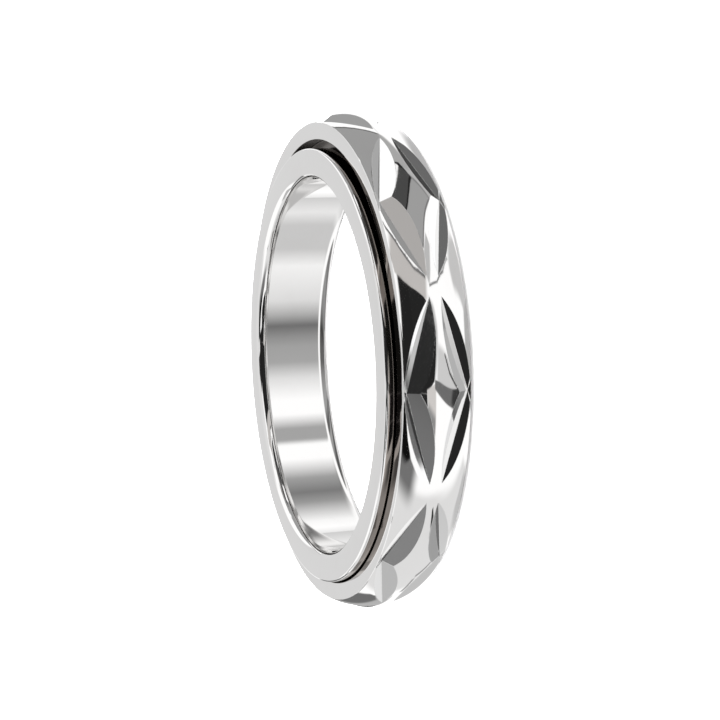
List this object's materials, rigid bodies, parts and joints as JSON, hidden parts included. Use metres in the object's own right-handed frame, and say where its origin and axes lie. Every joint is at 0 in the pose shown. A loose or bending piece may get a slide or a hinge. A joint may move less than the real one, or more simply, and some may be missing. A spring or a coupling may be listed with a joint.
{
  "type": "spinner ring",
  "caption": "Finger ring: a rimmed inner sleeve with a plain rounded bore, and a domed outer band cut with faceted lozenges that spins freely between the rims.",
  "frame": {"origin": "on the surface that the ring lies on, on the axis of the band", "axes": "+Z along the band's axis and the bore, out of the upper end face; -X towards the side to which the sleeve has dropped inside the band"},
  "size_m": [0.0242, 0.0242, 0.0039],
  "materials": {
    "sleeve_metal": "mirror-polished stainless steel",
    "band_metal": "mirror-polished stainless steel, bright-cut facets"
  },
  "bodies": {
    "sleeve": {"inner_sleeve": "sleeve_metal"},
    "spinner": {"spinner_band": "band_metal"}
  },
  "joints": [
    {"name": "band_spin", "type": "hinge", "parent": "sleeve", "child": "spinner", "pos_m": [0, 0, 0.00182], "axis": [0, 0, 1], "continuous": true}
  ]
}
